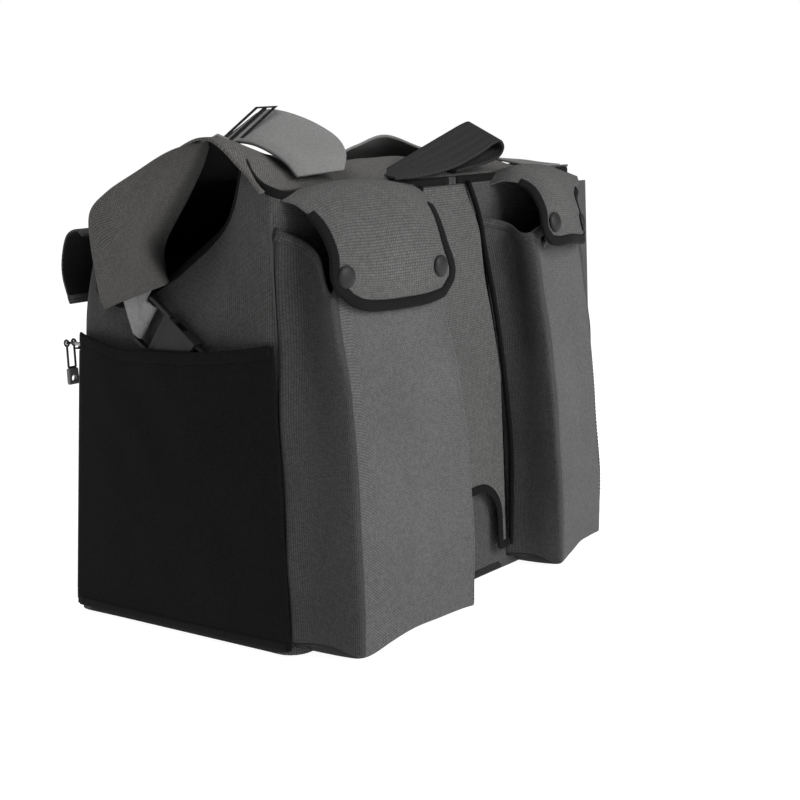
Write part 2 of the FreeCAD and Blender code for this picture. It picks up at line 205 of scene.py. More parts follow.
# %% [markdown]
# A material in Blender is a small graph of nodes. Writing each node out takes five lines, so one
# helper adds a node, sets its options and feeds its inputs in order. A second helper opens a node
# group, which is a graph with named inputs and outputs that several materials can share.

# %% Helpers for node graphs


def add(tree, kind, *feeds, out=0, **options):
    """Adds a shader node, feeds its inputs in order, and gives back one of its outputs."""
    made = tree.nodes.new("ShaderNode" + kind)
    for key, value in options.items():
        setattr(made, key, value)
    for socket, feed in zip(made.inputs, feeds):
        if isinstance(feed, bpy.types.NodeSocket):
            tree.links.new(feed, socket)
        elif feed is not None:
            socket.default_value = feed
    return made.outputs[out]


def calc(tree, operation, *feeds):
    """One step of arithmetic."""
    return add(tree, "Math", *feeds, operation=operation)


def open_group(name, inputs, outputs):
    """A new node group. Gives its tree, its inputs by name, and its output node."""
    group = bpy.data.node_groups.new(name, "ShaderNodeTree")
    for label, kind in inputs:
        group.interface.new_socket(name=label, in_out="INPUT", socket_type="NodeSocket" + kind)
    for label in outputs:
        group.interface.new_socket(name=label, in_out="OUTPUT", socket_type="NodeSocketFloat")
    entry = group.nodes.new("NodeGroupInput")
    return group, {s.name: s for s in entry.outputs}, group.nodes.new("NodeGroupOutput")


def place_group(tree, group, **feeds):
    """Puts a group into a material and gives its outputs by name."""
    made = tree.nodes.new("ShaderNodeGroup")
    made.node_tree = group
    for key, feed in feeds.items():
        socket = made.inputs[key]
        if isinstance(feed, bpy.types.NodeSocket):
            tree.links.new(feed, socket)
        else:
            socket.default_value = feed
    return made.outputs


# %% [markdown]
# The bag's cloth is a coarse basket-like weave: fat yarns that go over and under each other, about
# 1.5 mm apart. Each yarn is a half-round hump, and a checkerboard says which of the two crossing
# yarns lies on top. Worked out from the piece's own UV map, in metres, the weave keeps its real scale
# and bends with the cloth. The group gives the height and a slow unevenness from yarn to yarn.

# %% Weave group
weave, given, result = open_group("basket_weave", [("Place", "Vector"), ("Pitch", "Float")],
                                  ["Height", "Yarn"])
parts_uv = weave.nodes.new("ShaderNodeSeparateXYZ")
weave.links.new(given["Place"], parts_uv.inputs[0])
warp = calc(weave, "DIVIDE", parts_uv.outputs[0], given["Pitch"])
weft = calc(weave, "DIVIDE", parts_uv.outputs[1], given["Pitch"])
hump_a = calc(weave, "SINE", calc(weave, "MULTIPLY", calc(weave, "FRACT", warp), math.pi))
hump_b = calc(weave, "SINE", calc(weave, "MULTIPLY", calc(weave, "FRACT", weft), math.pi))
check = calc(weave, "FLOORED_MODULO",
             calc(weave, "ADD", calc(weave, "FLOOR", warp), calc(weave, "FLOOR", weft)), 2.0)
warp_up = calc(weave, "MULTIPLY", hump_a, calc(weave, "MULTIPLY_ADD", hump_b, 0.5, 0.5))
weft_up = calc(weave, "MULTIPLY", hump_b, calc(weave, "MULTIPLY_ADD", hump_a, 0.5, 0.5))
gap_ab = calc(weave, "SUBTRACT", calc(weave, "MULTIPLY", weft_up, 0.8), warp_up)
height = calc(weave, "MULTIPLY_ADD", gap_ab, check, warp_up)
cell = add(weave, "CombineXYZ", calc(weave, "FLOOR", warp), calc(weave, "FLOOR", weft), 0.0)
yarn = add(weave, "TexWhiteNoise", cell, noise_dimensions="2D", out=0)
weave.links.new(height, result.inputs["Height"])
weave.links.new(yarn, result.inputs["Yarn"])
print("weave group has", len(weave.nodes), "nodes")

# %% [markdown]
# Webbing is woven flat and tight. Its face shows slanting ribs that change direction in stripes along
# its length, called a herringbone. Folding one coordinate back on itself gives the change of
# direction, and a sine wave gives the ribs.

# %% Webbing group
ribs, given, result = open_group("webbing_ribs", [("Place", "Vector"), ("Pitch", "Float"),
                                                  ("Stripe", "Float")], ["Height"])
parts_uv = ribs.nodes.new("ShaderNodeSeparateXYZ")
ribs.links.new(given["Place"], parts_uv.inputs[0])
folded = calc(ribs, "PINGPONG", parts_uv.outputs[0], given["Stripe"])
slant = calc(ribs, "DIVIDE", calc(ribs, "ADD", parts_uv.outputs[1], folded), given["Pitch"])
wave = calc(ribs, "MULTIPLY_ADD", calc(ribs, "SINE", calc(ribs, "MULTIPLY", slant, 2 * math.pi)), 0.5, 0.5)
edge = calc(ribs, "DIVIDE", calc(ribs, "PINGPONG", parts_uv.outputs[0], given["Stripe"]), given["Stripe"])
valley = calc(ribs, "SMOOTH_MIN", calc(ribs, "MULTIPLY", edge, 4.0), 1.0, 0.3)
ribs.links.new(calc(ribs, "MULTIPLY", wave, valley), result.inputs["Height"])
print("webbing group has", len(ribs.nodes), "nodes")

# %% [markdown]
# Real cloth is never one tone. Dust, rubbing and dye make broad light and dark patches, and hairs make
# small specks. Both are the same noise at two scales, so one group serves every finish on the bag.

# %% Wear group
wear, given, result = open_group("dust_and_rubbing", [("Place", "Vector"), ("Scale", "Float")],
                                 ["Patches", "Specks"])
wide_noise = add(wear, "TexNoise", given["Place"], None, given["Scale"], 3.0, 0.55)
fine_noise = add(wear, "TexNoise", given["Place"], None, calc(wear, "MULTIPLY", given["Scale"], 28.0), 2.0, 0.5)
wear.links.new(add(wear, "MapRange", wide_noise, 0.3, 0.7, 0.0, 1.0), result.inputs["Patches"])
wear.links.new(add(wear, "MapRange", fine_noise, 0.35, 0.75, 0.0, 1.0), result.inputs["Specks"])
print("wear group has", len(wear.nodes), "nodes")

# %% [markdown]
# Now the finishes. Each starts from the same bare shader, with plain numbers set straight on its
# sockets. Cloth colour runs between a dark and a light tone of its grey: the weave's height gives
# painted shade in the gaps between yarns and a painted highlight on each yarn's top, and a little
# noise from yarn to yarn and a few specks vary it. The same height drives a bump, so that light
# catches the yarns.

# %% Cloth finishes
finishes = {}


def bare(name, roughness, sheen=0.0, metallic=0.0, gloss=0.5):
    """An empty material with a shader whose plain values are set."""
    made = bpy.data.materials.new(name)
    made.use_nodes = True
    tree = made.node_tree
    shader = tree.nodes["Principled BSDF"]
    shader.inputs["Roughness"].default_value = roughness
    shader.inputs["Metallic"].default_value = metallic
    shader.inputs["Sheen Weight"].default_value = sheen
    shader.inputs["Sheen Roughness"].default_value = 0.6
    shader.inputs["Specular IOR Level"].default_value = gloss
    finishes[name] = made
    return made, tree, shader


def tone(level, warmth=1.0):
    """A grey, a little warmer above 1 and cooler below."""
    return (level * warmth, level, level / warmth, 1.0)


def bumped(tree, shader, height, strength, distance):
    """Feeds a height to the shader's normal."""
    bump = tree.nodes.new("ShaderNodeBump")
    bump.inputs["Strength"].default_value = strength
    bump.inputs["Distance"].default_value = distance
    tree.links.new(height, bump.inputs["Height"])
    tree.links.new(bump.outputs[0], shader.inputs["Normal"])


def woven(name, level, pitch, warmth=1.0, turn=0.0, depth=0.8, sheen=0.02, gloss=0.18):
    """A basket-woven cloth: its grey, its yarn pitch in metres, and the weave's turn on the piece."""
    made, tree, shader = bare(name, 0.88, sheen, gloss=gloss)
    uv = add(tree, "TexCoord", out=2)
    turned = add(tree, "Mapping", uv, None, (0.0, 0.0, turn))
    cloth_weave = place_group(tree, weave, Place=turned, Pitch=pitch)
    dust = place_group(tree, wear, Place=add(tree, "TexCoord", out=3), Scale=14.0)
    height = cloth_weave["Height"]
    # painted shade and highlight: the weave's height darkens the gaps and lightens the yarn tops; the yarn noise and
    # specks are the cloth's own tone
    tone_and_shade = calc(tree, "MULTIPLY_ADD", cloth_weave["Yarn"], 0.22, calc(tree, "MULTIPLY", height, 0.75))
    tone_and_shade = calc(tree, "MULTIPLY_ADD", dust["Specks"], 0.12, tone_and_shade)
    base = add(tree, "MixRGB", tone_and_shade, tone(level * 0.26, warmth), tone(level * 1.65, warmth))
    soft = add(tree, "MixRGB", dust["Patches"], tone(0.86), tone(1.0))
    mixed = add(tree, "MixRGB", 1.0, base, soft, blend_type="MULTIPLY")
    tree.links.new(mixed, shader.inputs["Base Color"])
    bumped(tree, shader, height, depth, 0.0005)
    return made


woven("grey_canvas", 0.086, 0.00185, 1.012)
woven("pocket_canvas", 0.094, 0.0016, 1.0, math.radians(45))
# painted shade: the gusset grey is darker than the face greys, standing in for shade on pocket sides that face away
# from the lamps
woven("shaded_gusset_canvas", 0.046, 0.00135, 1.0)
# painted shade: the tub grey is darker than the face greys, standing in for shade on the ends and in the gaps along the
# back
woven("shaded_tub_canvas", 0.056, 0.0018, 1.01)
woven("wing_canvas", 0.088, 0.0018, 1.03, math.radians(38))
woven("black_cloth", 0.012, 0.0009, 1.0, depth=0.5)
woven("lining", 0.010, 0.0007, 1.0, depth=0.4)
woven("stretch_mesh", 0.0085, 0.0010, 1.0, math.radians(20), depth=0.6, sheen=0.0, gloss=0.05)
print(len(finishes), "cloth finishes")

# %% [markdown]
# Webbing finishes share one function too: the pale shoulder strap, the grey buckle tab and the black
# grab handle differ only in grey, in rib pitch and in the width of the herringbone's stripes.

# %% Webbing finishes


def strapping(name, level, pitch, stripe, warmth=1.0, depth=0.7, gloss=0.18):
    """A ribbed webbing."""
    made, tree, shader = bare(name, 0.7, 0.02, gloss=gloss)
    uv = add(tree, "TexCoord", out=2)
    height = place_group(tree, ribs, Place=uv, Pitch=pitch, Stripe=stripe)["Height"]
    dust = place_group(tree, wear, Place=add(tree, "TexCoord", out=3), Scale=18.0)
    # painted shade and highlight: the rib height darkens the valleys and lightens the rib tops; the specks are the
    # webbing's own flecks
    tone_and_shade = calc(tree, "MULTIPLY_ADD", dust["Specks"], 0.25, calc(tree, "MULTIPLY", height, 0.7))
    base = add(tree, "MixRGB", tone_and_shade, tone(level * 0.55, warmth), tone(level * 1.35, warmth))
    soft = add(tree, "MixRGB", dust["Patches"], tone(0.9), tone(1.0))
    mixed = add(tree, "MixRGB", 1.0, base, soft, blend_type="MULTIPLY")
    tree.links.new(mixed, shader.inputs["Base Color"])
    bumped(tree, shader, height, depth, 0.0004)
    return made


strapping("pale_webbing", 0.215, 0.0011, 0.05, 1.01)
strapping("tab_webbing", 0.27, 0.0013, 0.0075)
strapping("black_webbing", 0.019, 0.0020, 0.0045, depth=1.0)
strapping("black_tape", 0.007, 0.0011, 0.002, depth=0.4, gloss=0.04)
print(len(finishes), "finishes so far")

# %% [markdown]
# Buckles are moulded nylon: black, satin, with the fine pebble that a spark-cut mould leaves. Snaps are
# painted brass, smoother and a little glossier. Rubbed edges are paler. A noise in object space gives
# the pebble, and Pointiness would give the edges, but it isn't used, so the rubbing
# follows broad patches instead.

# %% Hard finishes


def moulded(name, colour, rubbed, roughness, pebble, metallic=0.0, gloss=0.5, scale=900.0):
    """A hard finish with fine grain and rubbed patches."""
    made, tree, shader = bare(name, roughness, 0.0, metallic, gloss=gloss)
    place = add(tree, "TexCoord", out=3)
    dust = place_group(tree, wear, Place=place, Scale=60.0)
    mask = calc(tree, "MULTIPLY", dust["Patches"], calc(tree, "MULTIPLY_ADD", dust["Specks"], 0.7, 0.3))
    tree.links.new(add(tree, "MixRGB", mask, colour, rubbed), shader.inputs["Base Color"])
    rough = calc(tree, "MULTIPLY_ADD", dust["Specks"], 0.16, roughness - 0.06)
    tree.links.new(rough, shader.inputs["Roughness"])
    grain = add(tree, "TexNoise", place, None, scale, 2.0, 0.6)
    bumped(tree, shader, grain, pebble, 0.0003)
    return made


moulded("black_plastic", tone(0.009), tone(0.018), 0.45, 0.35, gloss=0.25)
moulded("snap_black", tone(0.012), tone(0.022), 0.5, 0.12, gloss=0.2)
moulded("zip_black", tone(0.010), tone(0.02), 0.4, 0.2)
moulded("zip_metal", tone(0.30), tone(0.45), 0.32, 0.1, metallic=1.0)
moulded("pull_grey", tone(0.11), tone(0.16), 0.5, 0.3)
moulded("stiffener", tone(0.03), tone(0.05), 0.6, 0.4)
moulded("black_thread", tone(0.007), tone(0.015), 0.7, 0.5, scale=2500.0)
moulded("pale_thread", tone(0.45), tone(0.60), 0.7, 0.5, scale=2500.0)
moulded("grey_thread", tone(0.05), tone(0.09), 0.7, 0.5, scale=2500.0)
print(sorted(finishes))

# %% [markdown]
# Every cloth piece on the bag is made in the same way: a flat grid is cut, its corners keep the flat
# size in the UV map, and each vertex is then laid where the sheet's shape says. A few rounds of
# smoothing take the hardness out of folds, and Solidify gives the cloth its thickness. Modelling
# each sheet like this keeps its cut size honest, which a sculpted lump would not.

# %% Cloth maker


def finish_piece(piece, body, stands_for=()):
    """Puts a piece on its body and hides the fixed nodes it stands for."""
    bpy.context.scene.collection.objects.link(piece)
    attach(piece, body)
    if stands_for:
        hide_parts(*stands_for)
    return piece


def cut_grid(cells, size):
    """A flat grid from 0 to 1 each way, with its cut size in millimetres kept in its UV map."""
    bm = bmesh.new()
    uv = bm.loops.layers.uv.new("UVMap")
    bmesh.ops.create_grid(bm, x_segments=cells[0], y_segments=cells[1], size=0.5, calc_uvs=True)
    for face in bm.faces:
        for loop in face.loops:
            loop[uv].uv = ((loop.vert.co.x + 0.5) * size[0] * MM, (loop.vert.co.y + 0.5) * size[1] * MM)
    return bm


def cloth(name, shape, size, cells, finish, body, stands_for=(), thick=1.5, lining=None, soften=0,
          offset=0.0):
    """A sheet of cloth: shape(u, v) gives places in millimetres and size is its cut in millimetres."""
    bm = cut_grid(cells, size)
    for vert in bm.verts:
        vert.co = at(shape(vert.co.x + 0.5, vert.co.y + 0.5))
    inner = [vert for vert in bm.verts if not vert.is_boundary]
    for _ in range(soften):
        bmesh.ops.smooth_vert(bm, verts=inner, factor=0.5, use_axis_x=True, use_axis_y=True, use_axis_z=True)
    for face in bm.faces:
        face.smooth = True
    mesh = bpy.data.meshes.new(name)
    bm.to_mesh(mesh)
    bm.free()
    mesh.materials.append(finishes[finish])
    piece = bpy.data.objects.new(name, mesh)
    wall = piece.modifiers.new("thickness", "SOLIDIFY")
    wall.thickness, wall.offset = thick * MM, offset
    if lining:
        mesh.materials.append(finishes[lining])
        wall.material_offset = 1
    return finish_piece(piece, body, stands_for)


def skin(shape, u, v, lift=0.0):
    """A place on a sheet, its outward direction, and the place lifted off it."""
    e = 0.004
    du = Vector(shape(min(u + e, 1), v)) - Vector(shape(max(u - e, 0), v))
    dv = Vector(shape(u, min(v + e, 1))) - Vector(shape(u, max(v - e, 0)))
    out = du.cross(dv)
    out = out.normalized() if out.length > 1e-9 else Vector((0, 0, 1))
    place = Vector(shape(u, v))
    return place + out * lift, out


# %% [markdown]
# Bindings, piping, cords and hems are all long thin pieces that follow a line. Blender's curve bevel
# could make them, but a binding has to lie flat on its cloth. So a grid is wrapped into a tube round
# the line, wide along the cloth and thin across it, its seam is merged and its ends are filled.

# %% Tape and cord maker


def tube(name, line, wide, thick, finish, body, count, stands_for=(), ring=10, square=0.6):
    """A tube along line(t), which gives its centre and the direction its thin side faces."""
    spots = [line(i / count) for i in range(count + 1)]
    centres = [Vector(spot[0]) for spot in spots]
    length = sum((b - a).length for a, b in zip(centres, centres[1:]))
    bm = cut_grid((count, ring), (length, 2 * (wide + thick)))
    for vert in bm.verts:
        i = round((vert.co.x + 0.5) * count)
        turn = (vert.co.y + 0.5) * 2 * math.pi
        ahead_of = centres[min(i + 1, count)] - centres[max(i - 1, 0)]
        out = Vector(spots[i][1])
        aside = ahead_of.cross(out).normalized()
        out = aside.cross(ahead_of).normalized()
        c, s = math.cos(turn), math.sin(turn)
        across = math.copysign(abs(c) ** square, c) * wide / 2
        up = math.copysign(abs(s) ** square, s) * thick / 2
        vert.co = at(centres[i] + aside * across + out * up)
    bmesh.ops.remove_doubles(bm, verts=bm.verts, dist=1e-6)
    rims = [edge for edge in bm.edges if edge.is_boundary]
    if rims:
        bmesh.ops.holes_fill(bm, edges=rims, sides=0)
    bmesh.ops.recalc_face_normals(bm, faces=bm.faces)
    for face in bm.faces:
        face.smooth = True
    mesh = bpy.data.meshes.new(name)
    bm.to_mesh(mesh)
    bm.free()
    mesh.materials.append(finishes[finish])
    return finish_piece(bpy.data.objects.new(name, mesh), body, stands_for)


def on_skin(shape, path, lift=0.0):
    """A tube's line that runs over a sheet: path(t) gives u and v."""
    return lambda t: skin(shape, *path(t), lift)


# %% [markdown]
# Stitches are what make sewn goods read as sewn. Each one is a short thread bead half sunk in the cloth.
# There are hundreds, so each is an icosphere of twenty faces, stretched along the seam.

# %% Stitch maker


def stitches(name, line, count, finish, body, long=2.4, round_=0.45, stands_for=()):
    """A row of stitches along line(t), with gaps between them."""
    bm = bmesh.new()
    for i in range(count):
        t0, t1 = (i + 0.2) / count, (i + 0.8) / count
        a, out = line(t0)
        b, _ = line(t1)
        run = Vector(b) - Vector(a)
        if run.length < 1e-6:
            continue
        side = run.cross(Vector(out)).normalized()
        up = side.cross(run).normalized()
        turn = Matrix((run.normalized(), side, up)).transposed().to_4x4()
        place = Matrix.Translation(at((Vector(a) + Vector(b)) / 2))
        reach = min(long, run.length) / 2 * MM
        shape = Matrix.Diagonal((reach * 1.15, round_ * MM, round_ * MM, 1))
        bmesh.ops.create_icosphere(bm, subdivisions=1, radius=1, matrix=place @ turn @ shape)
    for face in bm.faces:
        face.smooth = True
    mesh = bpy.data.meshes.new(name)
    bm.to_mesh(mesh)
    bm.free()
    mesh.materials.append(finishes[finish])
    return finish_piece(bpy.data.objects.new(name, mesh), body, stands_for)


# %% [markdown]
# Moulded and metal parts keep their fixed shape, which is already right, but a real edge is never
# razor sharp. A merged copy of the fixed mesh has its flat triangles dissolved and its edges bevelled.

# %% Hard part maker


def softened(node, finish, radius, segments=2):
    """A copy of a fixed node with its edges rounded, which stands for that node."""
    fixed = frame["nodes"][node]
    bm = bmesh.new()
    bm.from_mesh(fixed.data)
    bmesh.ops.remove_doubles(bm, verts=bm.verts, dist=2e-5)
    bmesh.ops.dissolve_limit(bm, angle_limit=math.radians(4), verts=bm.verts, edges=bm.edges)
    sharp = [e for e in bm.edges if e.is_manifold and e.calc_face_angle(0) > math.radians(28)]
    bmesh.ops.bevel(bm, geom=sharp, offset=radius * MM, affect="EDGES", segments=segments, profile=0.5,
                    material=-1, clamp_overlap=True)
    bmesh.ops.recalc_face_normals(bm, faces=bm.faces)
    mesh = bpy.data.meshes.new(node + "_rounded")
    bm.to_mesh(mesh)
    bm.free()
    mesh.materials.append(finishes[finish])
    piece = bpy.data.objects.new(node + "_rounded", mesh)
    return finish_piece(piece, body_of(fixed)[0], (node,))


print("makers ready")

# %% [markdown]
# The body is a tub of foam-backed cloth. On the real bag it is one band sewn to a base, so it is made as
# one sheet that runs round the bag with soft corners, not as four boards. Its upper edge follows the
# opening: high along the back, an ear at each end, then a slope down to where the roll-top lands.

# %% Body tub
HALF = 210.0
CORNER = 15.0


def front_y(z):
    """The front panel's distance from the back at a height."""
    return 236 - 29 * z / 224 if z < 224 else 207 - 9 * (z - 224) / 76


def perimeter(share, depth, half=HALF, corner=CORNER):
    """A place round the bag: share 0 and 1 at the back's middle, 0.25 at the left end."""
    s = share if share <= 0.5 else 1 - share
    flat_back, flat_end, arc = half - corner, depth - 2 * corner, math.pi * corner / 2
    left = s * 2 * (2 * flat_back + flat_end + 2 * arc)
    if left < flat_back:
        x, y = -left, 0.0
    elif left < flat_back + arc:
        turn = (left - flat_back) / corner
        x, y = -flat_back - corner * math.sin(turn), corner * (1 - math.cos(turn))
    elif left < flat_back + arc + flat_end:
        x, y = -half, corner + left - flat_back - arc
    elif left < flat_back + 2 * arc + flat_end:
        turn = (left - flat_back - arc - flat_end) / corner
        x, y = -half + corner * (1 - math.cos(turn)), depth - corner + corner * math.sin(turn)
    else:
        x, y = -(flat_back - (left - flat_back - 2 * arc - flat_end)), depth
    return (x, y) if share <= 0.5 else (-x, y)


LEFT_EDGE = [(0, 331.5), (14, 339), (28, 349), (38, 357), (42, 350), (46, 332), (56, 318), (78, 300), (106, 275),
             (130, 261), (160, 251), (186, 258), (200, 299)]
RIGHT_EDGE = [(0, 331.5), (20, 329), (40, 331), (56, 318), (78, 300), (106, 275), (130, 261), (160, 251), (186, 258),
              (200, 299)]


def lean(x, y, z):
    """How far the slack right end leans in, near the back and above the buckles."""
    return 30 * smooth((x - 90) / 110) * smooth((z - 180) / 105) * smooth((175 - y) / 90)


def edge_height(y, x):
    """The tub's upper edge over a place on its outline."""
    if abs(x) < HALF - CORNER and y < 100:
        return 331.5
    if abs(x) < HALF - CORNER:
        return 300.0
    line = LEFT_EDGE if x < 0 else RIGHT_EDGE
    for a, b in zip(line, line[1:]):
        if y <= b[0]:
            return a[1] + (b[1] - a[1]) * (y - a[0]) / (b[0] - a[0])
    return 300.0


def tub(u, v):
    """The tub's cloth."""
    depth = front_y(224 * v)
    x, y = perimeter(u, depth)
    top = edge_height(y, x)
    z = 1.5 + v * (top - 1.5)
    x, y = perimeter(u, front_y(z))
    on_end = smooth((abs(x) - 185) / 20) * smooth(y / 30) * smooth((220 - y) / 40)
    high = smooth((z - 232) / 90)
    curl = on_end * (15 * high * smooth((y - 12) / 60) + 8 * high * v ** 4)
    fold = 5.5 * math.sin(0.075 * y + 0.05 * z + 2.2 * ripple(y * 0.012, z * 0.01, 3.0))
    slack = on_end * smooth((z - 215) / 45) * smooth((112 - y) / 50) * fold + on_end * high * 3 * ripple(
        y * 0.03, z * 0.022, 1.0)
    side = -1 if x < 0 else 1
    sag = 0.8 * ripple(x * 0.018 + y * 0.02, z * 0.018, 5.0)
    return Vector((x - side * (curl + slack * 0.6 + 0.6 * on_end) - lean(x, y, z), y + sag * (1 - on_end), z))


# The tub's darker grey is painted shade.
body_tub = cloth("body_tub", turned(tub), (1290, 330), (300, 84), "shaded_tub_canvas", "bag", ("body_shell",), 2.4,
                 lining="lining", soften=2)
tube("mouth_tape", on_skin(turned(tub), lambda t: (0.004 + 0.992 * t, 0.992), 0.3), 6.5, 3.4, "black_tape", "bag", 300)


def tray(u, v):
    """The black base: floor from its middle out, then a low wall."""
    if v < 0.6:
        share = v / 0.6
        x, y = perimeter(u, 232, 208)
        return Vector((x * share, 117 + (y - 117) * share, 1.0))
    z = 1.0 + (v - 0.6) / 0.4 * 7.0
    x, y = perimeter(u, front_y(z) + 1.2, HALF + 0.8)
    return Vector((x, y - 0.6, z))


base_tray = cloth("base_tray", tray, (1290, 140), (150, 16), "black_cloth", "bag", ("base_cloth",), 1.2,
                  soften=1)
for node, finish in (("base_board", "stiffener"), ("back_board", "stiffener")):
    frame["nodes"][node].data.materials.clear()
    frame["nodes"][node].data.materials.append(finishes[finish])
print("tub and base made")

# %% [markdown]
# The back's middle panel is a sleeve that slips over a carrier. It is flat, closed at its top, and cut
# away in an arch at its foot. Its lower edge is laid along the arch, so the columns of the grid fan
# out from it and the arch comes out clean without any cutting.

# %% Sleeve panel, arch binding and piping
SLEEVE_HALF = 52.0
ARCH = ([(-52, 22), (-40, 22), (-40, 48)]
        + [(-12 - 28 * math.cos(math.radians(a)), 48 + 28 * math.sin(math.radians(a))) for a in range(15, 91, 15)]
        + [(12 - 28 * math.cos(math.radians(a)), 48 + 28 * math.sin(math.radians(a))) for a in range(90, 166, 15)]
        + [(40, 48), (40, 22), (52, 22)])
ARCH_LINE = [(x, 0, z) for x, z in ARCH]


RIGHT_SEAM = [(56, -8, 22), (59, -8, 62), (60, -8.5, 103), (55, -9.5, 142), (48, -10, 188), (40, -10, 230),
              (31, -9, 270), (26, -7, 301), (17, -4.5, 327)]


def sleeve(u, v):
    """The sleeve's outer sheet. Its right seam slants in towards the top."""
    foot = straight(ARCH_LINE, u)
    z = foot[2] + (325 - foot[2]) * v
    top_right = along(RIGHT_SEAM, (z - 22) / 305)[0] - 2
    x = foot[0] + (-SLEEVE_HALF + (SLEEVE_HALF + top_right) * u - foot[0]) * smooth(v * 2.2)
    near_edge = smooth((SLEEVE_HALF - abs(x)) / 5)
    out = (1.2 + 7.0 * near_edge) * (1 - 0.75 * smooth((z - 285) / 38))
    return Vector((x, -out - 0.7 * ripple(x * 0.03, z * 0.016, 8.0) * near_edge, z))


sleeve_panel = cloth("sleeve_cloth", sleeve, (104, 303), (120, 90), "grey_canvas", "bag", ("sleeve_panel",), 1.5)
uv_map = sleeve_panel.data.uv_layers["UVMap"]
for loop in sleeve_panel.data.loops:
    co = sleeve_panel.data.vertices[loop.vertex_index].co
    uv_map.data[loop.index].uv = (co.x, co.z)
arch_inner = straight(ARCH_LINE, 0.5)
tube("arch_tape", lambda t: (straight(ARCH_LINE, t) + Vector((0, -8.6, 0.0)) + Vector((0, 0, 2.5)), (0, -1, 0)),
     7.5, 2.0, "black_tape", "bag", 90, ("arch_binding",))


def cord_line(side):
    """One side's piping: it leans out towards the foot."""
    return lambda t: (along([(side * 57, -2.5, 22), (side * 57, -3.5, 110), (side * 56, -3.5, 220),
                             (side * 50, -3.2, 290), (side * 42, -2.4, 326)], t), (0, -1, 0))


tube("left_piping", cord_line(-1), 4.2, 4.2, "black_tape", "bag", 60, ("back_piping",), square=1.0)
tube("right_piping", lambda t: (along(RIGHT_SEAM, t), (0, -1, 0)), 4.6, 4.6, "black_tape", "bag", 60, square=1.0)
print("sleeve made, arch outline has", len(ARCH_LINE), "points")

# %% [markdown]
# Each back pocket is a bellows: a flat face between two side gussets, all from one strip, and closed
# underneath. The strip is laid round four corners, whose places change with height, and the last rows
# of the grid turn under to make the bottom. Smoothing rounds the corners as a sewn seam does.

# %% Back pockets
LEFT_PLAN = [  # height, then root, face corner, face corner, root as (x, y)
    (0, (-210, 3), (-193, -47), (-54, -47), (-54, -1)),
    (60, (-210, 3), (-192, -46), (-51, -46), (-53, -1)),
    (120, (-210, 3), (-190, -44), (-50, -44), (-53, -1)),
    (190, (-210, 3), (-188, -41), (-56, -41), (-54, -1)),
    (245, (-209, 3), (-193, -36), (-64, -36), (-56, -1)),
    (312, (-206, 2), (-190, -22), (-68, -32), (-60, -1))]
RIGHT_PLAN = [
    (0, (58, -1), (80, -42), (182, -18), (209, 3)),
    (60, (60, -2), (73, -46), (188, -17), (210, 3)),
    (120, (58, -2), (70, -44), (184, -15), (210, 3)),
    (190, (48, -3), (66, -42), (179, -15), (208, 3)),
    (245, (36, -3), (60, -40), (168, -16), (196, 1)),
    (312, (22, -2), (51, -36), (156, -14), (178, 0))]


def plan_at(plan, z):
    """The four corners at a height."""
    for low, high in zip(plan, plan[1:]):
        if z <= high[0]:
            share = smooth((z - low[0]) / (high[0] - low[0])) * 0.5 + (z - low[0]) / (high[0] - low[0]) * 0.5
            return [Vector((*a, 0)).lerp(Vector((*b, 0)), share) for a, b in zip(low[1:], high[1:])]
    return [Vector((*p, 0)) for p in plan[-1][1:]]


FOOT_LIFT = [(0, 0, 13), (0, 0, 11), (0, 0, 4), (0, 0, 7), (0, 0, 9.5), (0, 0, 8.5), (0, 0, 7), (0, 0, 4), (0, 0, 4)]


def bellows(plan, top_edge, seed):
    """A pocket's strip: u round the corners, v from the closed bottom up to top_edge(u)."""
    def shape(u, v):
        under = 0.05
        top = along(top_edge, u)[2]
        lift = along(FOOT_LIFT, u)[2]
        z = lift if v < under else lift + (v - under) / (1 - under) * (top - lift)
        corners = plan_at(plan, z)
        place = straight(corners, u)
        back = Vector((place.x, -1, 0))
        if v < under:
            k = math.sin(v / under * math.pi / 2)
            place = back.lerp(place, k)
            z = lift - 2.5 + 2.5 * (1 - math.cos(v / under * math.pi / 2))
        middle = smooth(min(u, 1 - u) / 0.25)
        bulge = middle * (1.6 * math.sin(min(z / 260, 1) * math.pi) + 1.1 * ripple(u * 6, z * 0.014, seed))
        gusset = (1 - smooth((u - 0.03) / 0.2)) if u < 0.5 else (1 - smooth((1 - u - 0.03) / 0.2))
        depth = abs(place.y) / 48
        tuck = gusset * math.sin(math.pi * min(depth, 1)) * (5 + 20 * smooth((z - 130) / 140))
        inward = 1 if u < 0.5 else -1
        crease = gusset * 1.6 * ripple(z * 0.02, place.y * 0.05, seed + 4)
        return Vector((place.x + inward * (tuck + crease), place.y - bulge, z))
    return shape


